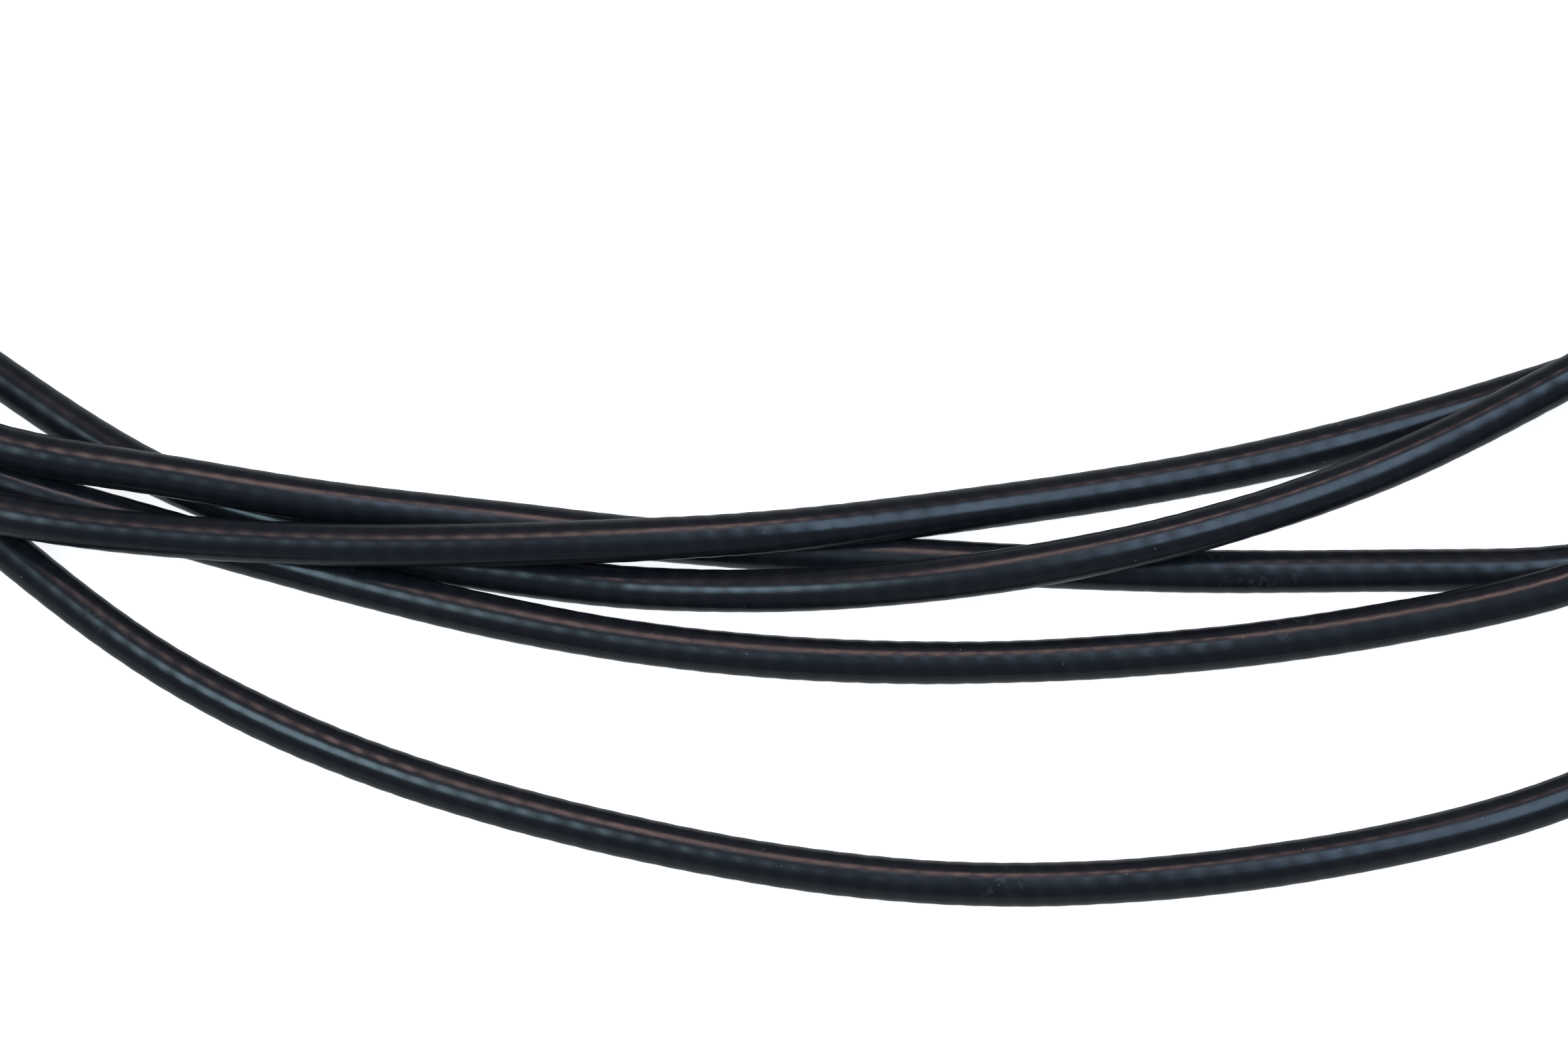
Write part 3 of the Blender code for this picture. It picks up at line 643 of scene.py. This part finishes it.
MATERIALS = {
    "sheath": extruded_pvc_sheath(),
    "rubber": moulded_rubber(),
    "button": moulded_phenolic(),
    # bright nickel over turned brass: a warm white metal with fine rings, yellow where rubbed through
    "nickel": worked_metal(
        "nickel_plated_turned_brass", "#cfcac0", "#a8a297", "#b58f4e", ACROSS_X, 0.17, 0.35,
    ),
    "nickel_upright": worked_metal(
        "nickel_plated_turned_brass_screw", "#cfcac0", "#a8a297", "#b58f4e", ACROSS_Z, 0.17, 0.35,
    ),
    # the plate is stamped from sheet and tumbled before plating: no lines, a fine even satin
    "nickel_plate": worked_metal(
        "nickel_plated_tumbled_brass", "#ccc8bf", "#a39d92", "#b58f4e", PLAIN, 0.2, 0.2,
    ),
    # steel wire and rod, drawn: grey, with fine lines along its length
    "steel": worked_metal("drawn_steel", "#a9abad", "#85868a", "#c0c2c4", ALONG_X, 0.2, 0.3),
    # brass left as turned: yellow going brown, with rings from the tool
    "brass": worked_metal("turned_brass", "#c9a35a", "#8f6d37", "#d8b871", ACROSS_X, 0.22, 0.4),
    "fibre": pressed_fibre(),
}


# --- the head -------------------------------------------------------------------------------------

HEAD = (0.0, 0.0, HEAD_Z)
BARREL_R = 4.6
PLATE_X = 16.3


def build_strain_relief():
    """The moulded sleeve: a taper cut by rings that let it bend, with a small lip at the cable."""
    outline = [(-48.4, SLEEVE_BORE), (-48.4, 2.15), (-47.9, 2.5), (-46.9, 2.5)]
    for k in range(6):
        x = -46.5 + 2.15 * k
        crest = 2.45 + 0.062 * (x + 46.5)
        outline += [
            (x, crest), (x + 0.15, crest - 0.45), (x + 0.8, crest - 0.42), (x + 0.95, crest + 0.05),
        ]
    outline += [(-31.4, 3.2), (-29.9, 3.2), (-29.9, 2.35), (-26.7, 2.35), (-26.7, SLEEVE_BORE)]
    mesh = turned("strain_relief_sleeve", outline, HEAD, 48, 0.14)
    add_piece(
        "strain_relief_sleeve", mesh, MATERIALS["rubber"], "release",
        ("strain_relief",),
    )


def build_socket():
    teeth = straight_teeth(52, 0.16)
    outline = [(-29.6, 2.65), (-29.6, 3.55), (-29.2, 3.9), (-28.7, 3.9)]
    outline += band(-28.6, -25.2, 3.9, teeth, 0.85)
    outline += [
        (-25.1, 3.72), (-24.8, 3.72), (-24.7, 3.9), (-24.2, 3.9), (-23.9, 3.6), (-23.9, 3.0),
    ]
    outline += [(-18.7, 3.0), (-18.7, 1.8), (-26.4, 1.8), (-26.4, 2.65)]
    mesh = turned("knurled_socket", outline, HEAD, 208, 0.07)
    add_piece(
        "knurled_socket", mesh, MATERIALS["nickel"], "release", ("cable_socket",),
    )


def build_barrel():
    outline = [(-23.6, 3.3), (-23.6, 4.25), (-23.25, BARREL_R), (-21.2, BARREL_R)]
    outline += [(-21.0, 4.25), (-19.8, 4.25), (-19.6, BARREL_R)]
    for x in (-13.2, -12.3, -11.4, 8.6, 9.5, 10.4):
        outline += groove(x, 0.4, BARREL_R, 0.16)
    outline += [
        (13.1, BARREL_R), (13.6, 5.3), (14.6, 5.3), (14.7, 5.1), (15.0, 5.1), (15.1, 5.3),
        (16.0, 5.3),
    ]
    outline += [(16.0, 3.3)]
    mesh = turned("turned_barrel", outline, HEAD, 72, 0.1)
    add_piece("turned_barrel", mesh, MATERIALS["nickel"], "release", ("barrel",))


def build_return_spring():
    """The return spring inside the barrel, wound from wire, with a closed turn at each end."""
    wire, middle, turns, per_turn, sides = 0.28, 2.45, 10, 28, 8
    start, end = -17.3 + wire, 4.4 - wire
    count = turns * per_turn + 1
    rows = []
    for k in range(count):
        share = k / (count - 1)
        open_share = min(max((share - 0.06) / 0.88, 0), 1)
        closed = 0.5 * (min(share / 0.1, 1) + max(share - 0.9, 0) / 0.1)
        x = start + closed + open_share * (end - start - 1.0)
        angle = math.tau * turns * share
        out = Vector((0, math.cos(angle), math.sin(angle)))
        rows.append([
            Vector((x, 0, 0)) + out * (middle + wire * math.cos(math.tau * j / sides))
            + Vector((wire * math.sin(math.tau * j / sides), 0, 0)) + Vector(HEAD)
            for j in range(sides)
        ])
    points = np.array([[list(point) for point in row] for row in rows])
    points = np.concatenate([points[:1].mean(axis=1, keepdims=True).repeat(sides, axis=1), points,
                             points[-1:].mean(axis=1, keepdims=True).repeat(sides, axis=1)])
    mesh = grid_mesh("return_coil_spring", points, False)
    spring = add_piece(
        "return_coil_spring", mesh, MATERIALS["steel"], "release",
        ("return_spring",),
    )
    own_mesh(spring)


def plate_outline(end, around):
    """Points around a plate with two round ends of radius end, with the outward direction at each.

    The points are taken by their direction from the middle, so a round hole's edge can pair with them.
    """
    points = []
    outward = []
    for k in range(around):
        y, z = math.cos(math.tau * (k + 0.5) / around), math.sin(math.tau * (k + 0.5) / around)
        if abs(y) <= abs(z):
            points.append((end * y / abs(z), math.copysign(end, z)))
            outward.append((0.0, math.copysign(1.0, z)))
        else:
            reach = 2 * end * abs(y)
            points.append((reach * y, reach * z))
            outward.append(((reach * y - math.copysign(end, y)) / end, reach * z / end))
    return np.array(points), np.array(outward)


def build_finger_plate():
    """The plate for two fingers: round-ended, softly edged, dished on both wings towards the cable."""
    end, hole, around, thick, dish = 6.5, 3.35, 96, 2.4, 0.28
    outer, outward = plate_outline(end, around)
    inner = outer / np.linalg.norm(outer, axis=1)[:, None] * hole
    # each row: depth into the plate and how far in from the rim, or None for the hole's edge
    rows = [(0.0, None), (0.0, 2.6), (0.0, 1.3), (0.0, 0.6), (0.12, 0.24), (0.45, 0.04), (0.7, 0.0)]
    rows += [
        (thick - 0.7, 0.0), (thick - 0.45, 0.04), (thick - 0.12, 0.24), (thick, 0.6), (thick, 1.3),
    ]
    rows += [(thick, None)]
    points = np.zeros((len(rows), around, 3))
    for i, (depth, inset) in enumerate(rows):
        ring = inner if inset is None else outer - outward * inset
        points[i, :, 0] = PLATE_X + depth
        if inset in (2.6, 1.3) and depth == 0:
            points[i, :, 0] += dish * ((np.abs(ring[:, 0]) - 6.0) / 3.0).clip(0, 1) * (inset / 2.6)
        points[i, :, 1] = ring[:, 0]
        points[i, :, 2] = ring[:, 1] + HEAD_Z
    wear = np.array([0.0, 0, 0, 0.3, 1, 0.6, 0, 0, 0.6, 1, 0.3, 0, 0])
    mesh = grid_mesh("two_finger_plate", points, True, wear)
    add_piece(
        "two_finger_plate", mesh, MATERIALS["nickel_plate"], "release",
        ("finger_plate",),
    )


def build_cap():
    """The cap that clamps the plate: a crossed knurl between plain lands, and the lock screw's boss."""
    outline = [
        (11.0, 1.95), (11.0, 2.8), (11.2, 3.0), (19.9, 3.0), (19.9, 4.8), (20.3, 5.2), (20.6, 5.2),
    ]
    outline += crossed_knurl(20.7, 26.1, 5.2, 42, 0.2)
    outline += [
        (26.2, 5.2), (26.5, 5.2), (26.6, 5.0), (26.8, 5.0), (27.4, 4.6), (27.4, 2.75), (25.0, 2.75),
    ]
    outline += [(25.0, 1.95)]
    mesh = turned("knurled_cap", outline, HEAD, 42 * KNURL_STEPS, 0.05)
    mesh = drilled(mesh, (LOCK_X, 0, HEAD_Z), LOCK_HOLE_R, 1.0, 6.0)
    add_piece("knurled_cap", mesh, MATERIALS["nickel"], "release", ("barrel_cap",))
    boss = [(3.4, 1.5), (3.4, 2.6), (4.6, 2.75), (5.0, 2.6), (6.0, 2.6), (6.3, 2.3), (6.3, 1.5)]
    mesh = turned("lock_boss", boss, (LOCK_X, 0, HEAD_Z), 48, 0.08, upright=True)
    add_piece("lock_boss", mesh, MATERIALS["nickel_upright"], "release")
    bush = [
        (25.3, 1.9), (25.3, 2.3), (25.4, 2.45), (27.45, 2.45), (27.45, 3.3), (27.8, 3.4),
        (28.0, 3.2),
    ]
    bush += [(28.0, 2.2), (27.8, 1.9)]
    mesh = turned("turned_guide_bush", bush, HEAD, 64, 0.04)
    add_piece(
        "turned_guide_bush", mesh, MATERIALS["brass"], "release", ("guide_bush",),
    )
    washer = [(19.0, 3.3), (19.0, 4.8), (19.6, 4.8), (19.6, 3.3)]
    mesh = turned("stamped_washer", washer, HEAD, 72, 0.08)
    add_piece("stamped_washer", mesh, MATERIALS["fibre"], "release", ("plate_washer",))


def build_lock_screw():
    teeth = straight_teeth(34, 0.22)
    outline = [
        (3.35, 0), (3.35, 1.0), (3.55, 1.2), (6.95, 1.2), (7.0, 2.1), (6.65, 2.2), (6.65, 2.7),
        (7.2, 2.95),
    ]
    outline += band(7.5, 10.3, 3.2, teeth, 0.7)
    outline += [(10.6, 2.95), (11.0, 2.55), (11.0, 2.0), (10.75, 1.8), (10.75, 0.7), (10.5, 0.0)]
    mesh = turned("knurled_lock_screw", outline, (LOCK_X, 0, HEAD_Z), 136, 0.08, upright=True)
    add_piece(
        "knurled_lock_screw", mesh, MATERIALS["nickel_upright"], "lock",
        ("lock_screw",),
    )


def build_plunger():
    rod = [(8.4, 0), (8.4, 1.2), (11.0, 1.2), (11.0, 1.6), (45.3, 1.6), (45.6, 1.3), (45.6, 0)]
    mesh = turned("ground_plunger_rod", rod, HEAD, 40, 0.1)
    add_piece(
        "ground_plunger_rod", mesh, MATERIALS["steel"], "plunger", ("plunger_rod",),
    )
    flats = six_flats(2.52)
    nut = [
        (40.3, 1.62, None), (40.3, 2.45, None), (40.34, 2.52, flats), (40.55, 2.9, flats),
        (41.55, 2.9, flats),
    ]
    nut += [(41.76, 2.52, flats), (41.8, 2.45, None), (41.8, 1.62, None)]
    mesh = turned("hexagon_locknut", nut, HEAD, 96, 0.02)
    add_piece(
        "hexagon_locknut", mesh, MATERIALS["nickel"], "plunger",
        ("button_locknut",),
    )
    flutes = straight_teeth(40, 0.13)
    button = [
        (46.1, 0), (46.1, 1.65), (42.2, 1.65), (42.2, 3.4), (42.8, 3.9), (43.7, 4.4), (44.6, 6.0),
        (45.1, 6.42),
    ]
    button += band(45.3, 47.3, 6.5, flutes, 0.5)
    button += [(47.5, 6.42), (48.1, 6.15), (48.4, 5.6), (48.4, 4.5), (48.1, 3.9)]
    for k in range(5):
        r = 3.5 - 0.7 * k
        x = 47.62 + 0.05 * (r - 0.7) ** 1.5 if r > 0.7 else 47.6
        button += [(x, r), (x - 0.1, r - 0.14), (x - 0.1, r - 0.28), (x - 0.02, r - 0.42)]
    button += [(47.58, 0.0)]
    mesh = turned("thumb_button_cap", button, HEAD, 160, 0.1)
    add_piece(
        "thumb_button_cap", mesh, MATERIALS["button"], "plunger",
        ("thumb_button",),
    )


# --- the tip --------------------------------------------------------------------------------------

TIP = (0.0, TIP_Y, TIP_Z)


def build_tip():
    """The fittings on the cable's far end; the collar and its nipple turn, and the pin slides."""
    relief = [(26.3, SLEEVE_BORE), (26.3, 2.7), (29.3, 2.7)]
    for k in range(3):
        x = 30.2 + 2.1 * k
        crest = 2.7 - 0.055 * (x - 29.3)
        relief += [
            (x, crest), (x + 0.15, crest - 0.35), (x + 0.75, crest - 0.37), (x + 0.9, crest - 0.05),
        ]
    relief += [(37.4, 2.3), (38.0, 2.05), (38.0, SLEEVE_BORE)]
    mesh = turned("tip_relief_sleeve", relief, TIP, 48, 0.12)
    sleeve = add_piece(
        "tip_relief_sleeve", mesh, MATERIALS["rubber"], "release",
        ("tip_relief",),
    )
    ferrule = [(7.5, 1.1), (7.5, 2.9), (8.7, 2.9), (8.7, 2.5), (18.4, 2.5)]
    for x in (19.2, 21.6):
        ferrule += [(x, 2.5), (x + 0.3, 2.15), (x + 0.9, 2.15), (x + 1.2, 2.5)]
    ferrule += [(25.7, 2.5), (26.0, 2.2), (26.0, 1.1)]
    mesh = turned("crimped_ferrule", ferrule, TIP, 48, 0.1)
    crimped = add_piece(
        "crimped_ferrule", mesh, MATERIALS["nickel"], "release", ("tip_ferrule",),
    )
    clip = [(16.3, 2.8), (16.3, 3.25), (17.1, 3.25), (17.1, 2.8)]
    mesh = turned("spring_clip", clip, TIP, 48, 0.16)
    ring = add_piece(
        "spring_clip", mesh, MATERIALS["steel"], "release", ("collar_clip",),
    )
    collar = [(4.0, 2.35), (4.0, 3.2), (4.3, 3.5), (5.2, 3.5)]
    collar += crossed_knurl(5.3, 14.2, 3.5, 30, 0.17)
    collar += [
        (14.3, 3.5), (15.6, 3.5), (16.0, 3.2), (16.0, 2.8), (9.1, 2.8), (9.1, 3.0), (8.9, 3.15),
    ]
    collar += [(5.6, 3.15), (5.6, 2.35)]
    mesh = turned("knurled_tip_collar", collar, TIP, 30 * KNURL_STEPS, 0.05)
    knurled = add_piece(
        "knurled_tip_collar", mesh, MATERIALS["nickel"], "screw_collar",
        ("tip_collar",),
    )
    nipple = [(7.2, 1.05), (7.2, 2.85), (5.9, 2.85), (5.9, 2.05), (3.1, 2.05), (2.9, 1.7)]
    steps = 80
    for k in range(steps + 1):
        share = k / steps
        nipple.append((2.7 - 6.2 * share, 1.95 - 0.35 * share, screw_thread(0.55, 0.2)))
    nipple += [(-3.8, 1.4), (-4.0, 1.3), (-4.0, 1.05)]
    mesh = turned("threaded_nipple", nipple, TIP, 40, 0.03)
    threaded = add_piece(
        "threaded_nipple", mesh, MATERIALS["nickel"], "screw_collar",
        ("screw_nipple",),
    )
    pin = [(-3.7, 0), (-3.68, 0.3), (-3.5, 0.55), (-3.2, 0.75), (14.0, 0.75), (14.0, 0)]
    mesh = turned("ground_release_pin", pin, TIP, 32, 0.1)
    ground = add_piece(
        "ground_release_pin", mesh, MATERIALS["steel"], "pin", ("release_pin",),
    )
    return [sleeve, crimped, ring, knurled, threaded, ground]


def finish_kept_nodes():
    """Give the frame's own pieces that show their finished materials."""
    kept = {
        "conduit_ferrule": "brass", "spring_seat": "steel", "piston": "brass", "wire_grub_screw": "steel",
        "inner_wire": "steel", "lock_pad": "brass", "wire_crimp": "brass", "tip_wire": "steel",
    }
    for name, finish in kept.items():
        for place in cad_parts[name].material_slots:
            place.material = MATERIALS[finish]


# --- the cable ------------------------------------------------------------------------------------

RIB_PITCH = 2.0  # of the conduit's wire, which shows through the sheath
RIB_ROWS = (0.0, 0.22, 0.5, 0.78)  # where the rows of points lie in one pitch
RIB_DROPS = (1.0, 0.42, 0.0, 0.42)  # how far each of those rows sinks between two crests
RIB_SIDES = 16


def wander(values, period, seed):
    """A slow, smooth, fixed variation between about -1 and 1 along a length."""
    return np.array([2.0 * noise.noise(Vector((value / period, seed, 0.5 * seed))) for value in values])


def carried_frames(path):
    """Two directions across the path at each point, carried along it without twist."""
    along = np.gradient(path, axis=0)
    along /= np.linalg.norm(along, axis=1)[:, None]
    across = np.zeros_like(path)
    side = np.cross(along[0], (0, 0, 1.0))
    for i, direction in enumerate(along):
        side = side - direction * side.dot(direction)
        side /= np.linalg.norm(side)
        across[i] = side
    return along, across, np.cross(along, across)


def cable_mesh(path):
    """The sheathed cable, with the valleys between the conduit's turns, and its middle line.

    Its rows of points run round it as a helix, so each valley is real.
    """
    lengths = np.concatenate([[0], np.cumsum(np.linalg.norm(np.diff(path, axis=0), axis=1))])
    total = lengths[-1]
    _, across, lift = carried_frames(path)
    per_pitch = len(RIB_ROWS)
    turns = int(total / RIB_PITCH) + 2
    starts = np.array([(turn + share) * RIB_PITCH for turn in range(-1, turns) for share in RIB_ROWS])
    drop = np.array(RIB_DROPS * (turns + 1))
    angles = np.arange(RIB_SIDES) / RIB_SIDES
    wanted = starts[:, None] + RIB_PITCH * angles[None, :]
    clipped = np.clip(wanted, 0, total)
    depth = 0.021 + 0.009 * wander(starts, 45.0, 3.0) + 0.006 * wander(starts, 4.3, 7.0)
    swell = 0.020 * wander(starts, 13.0, 11.0) + 0.006 * wander(starts, 3.1, 5.0)
    ribbed = CABLE_R + swell[:, None] - (depth * drop)[:, None]
    radii = np.where(clipped == wanted, ribbed, CABLE_R)
    points = np.zeros((*wanted.shape, 3))
    for k in range(3):
        middle = np.interp(clipped, lengths, path[:, k])
        one = np.interp(clipped, lengths, across[:, k])
        other = np.interp(clipped, lengths, lift[:, k])
        points[:, :, k] = middle + radii * (
            one * np.cos(math.tau * angles)[None, :] + other * np.sin(math.tau * angles)[None, :]
        )
    rows, sides = wanted.shape
    mesh = bpy.data.meshes.new("cable")
    faces = []
    for i in range(rows - 1):
        for j in range(sides - 1):
            faces.append(
                (i * sides + j, i * sides + j + 1, (i + 1) * sides + j + 1, (i + 1) * sides + j)
            )
        if i + 1 + per_pitch < rows:
            seam = (i + per_pitch) * sides
            faces.append((i * sides + sides - 1, seam, seam + sides, (i + 1) * sides + sides - 1))
    mesh.from_pydata((points.reshape(-1, 3) * MM).tolist(), [], faces)
    valley = mesh.attributes.new("valley", "FLOAT", "POINT")
    valley.data.foreach_set("value", np.repeat(drop, sides).astype(np.float32))
    shape = bmesh.new()
    shape.from_mesh(mesh)
    bmesh.ops.remove_doubles(shape, verts=shape.verts, dist=2e-6)
    bmesh.ops.delete(shape, geom=[v for v in shape.verts if not v.link_faces], context="VERTS")
    bmesh.ops.holes_fill(shape, edges=[edge for edge in shape.edges if edge.is_boundary], sides=0)
    bmesh.ops.recalc_face_normals(shape, faces=shape.faces)
    shape.to_mesh(mesh)
    shape.free()
    return mesh, path[::2]


def build_cable(tip_pieces):
    route = smooth_curve(cable_route(), 1.0)
    mesh, middle = cable_mesh(route)
    cable = add_piece(
        "sheathed_cable", mesh, MATERIALS["sheath"], "release",
        ("cable_lead_head", "cable_coil", "cable_lead_tip"), smooth_deg=80,
    )


# --- stage and light ------------------------------------------------------------------------------


# the paper's reach from the object and its height there: flat far past where a low camera stands
SWEEP = [(0, 0), (2600, 0), (3200, 60), (3700, 400), (4000, 1100), (4050, 4000)]


def build_stage():
    """A matte white paper sweep that curves up all around the object, far away from it."""
    around = 64
    points = np.zeros((len(SWEEP), around, 3))
    for i, (reach, height) in enumerate(SWEEP):
        for j in range(around):
            angle = math.tau * j / around
            points[i, j] = (reach * math.cos(angle), reach * math.sin(angle) - 120, height - 0.15)
    mesh = grid_mesh("paper_sweep", points, False)
    mesh.shade_smooth()
    material, tree, shader, place = start_material(
        "matte_white_paper", Roughness=0.95, Specular_IOR_Level=0.1,
    )
    fibres = add(tree, "ShaderNodeTexNoise", {"Vector": place, "Scale": 1 / 2.0, "Detail": 4.0})
    tone = add(
        tree, "ShaderNodeMix", {
            "Factor": fibres.outputs["Fac"], "A": linear("#f2f2f2"), "B": linear("#f7f7f7"),
        },
        data_type="RGBA",
    )
    link(tree, tone.outputs["Result"], shader, "Base Color")
    shader.inputs["Emission Color"].default_value = (1, 1, 1, 1)
    shader.inputs["Emission Strength"].default_value = 0.85
    mesh.materials.append(material)
    sweep = bpy.data.objects.new("paper_sweep", mesh)
    bpy.context.collection.objects.link(sweep)
    sweep.visible_glossy = False
    sweep.visible_diffuse = False
    sweep.visible_shadow = False


def add_softbox(name, direction, long_side, distance, size, radiance, colour):
    """An area lamp aimed at the near side of the coil, with the given brightness of its face."""
    data = bpy.data.lights.new(name, "AREA")
    data.shape = "RECTANGLE"
    data.size = size[0] * MM
    data.size_y = size[1] * MM
    data.energy = radiance * math.pi * size[0] * size[1] * MM * MM
    data.color = linear(colour)[:3]
    lamp = bpy.data.objects.new(name, data)
    bpy.context.collection.objects.link(lamp)
    away = Vector(direction).normalized()
    across = Vector(long_side).cross(away).normalized()
    turn = Matrix((across, away.cross(across), away)).transposed()
    lamp.matrix_world = Matrix.Translation((Vector(CAMERA_TARGET) + away * distance) * MM) @ turn.to_4x4()
    lamp.visible_camera = False


def light_stage():
    add_softbox(
        "softbox_left", (-0.385, -0.28, 0.88), (0.45, 0.9, 0), 1200, (310, 600), 8.4, "#cbedff",
    )
    add_softbox(
        "softbox_right", (0.325, -0.1, 0.94), (-0.3, 0.95, 0), 1200, (240, 1080), 6.2, "#bfe0ff",
    )
    add_softbox("lamp_behind", (0.0, 0.44, 0.9), (0.33, 0.94, 0), 400, (30, 190), 13.0, "#ffd4cc")
    world = bpy.data.worlds.new("dim_room")
    world.use_nodes = True
    tree = world.node_tree
    height = add(
        tree, "ShaderNodeSeparateXYZ", {0: add(tree, "ShaderNodeTexCoord").outputs["Generated"]},
    )
    share = add(
        tree, "ShaderNodeMapRange",
        {"Value": height.outputs["Z"], "From Min": -0.15, "From Max": 0.1},
    )
    tone = add(
        tree, "ShaderNodeMix", {
            "Factor": share.outputs[0], "A": linear("#a3a9ad"), "B": linear("#646974"),
        },
        data_type="RGBA",
    )
    tree.links.new(tone.outputs["Result"], tree.nodes["Background"].inputs["Color"])
    bpy.context.scene.world = world
    bpy.context.scene.view_settings.view_transform = "Standard"


# --- the whole release ----------------------------------------------------------------------------

place_camera()
build_strain_relief()
build_socket()
build_barrel()
build_return_spring()
build_finger_plate()
build_cap()
build_lock_screw()
build_plunger()
build_cable(build_tip())
finish_kept_nodes()
build_stage()
light_stage()
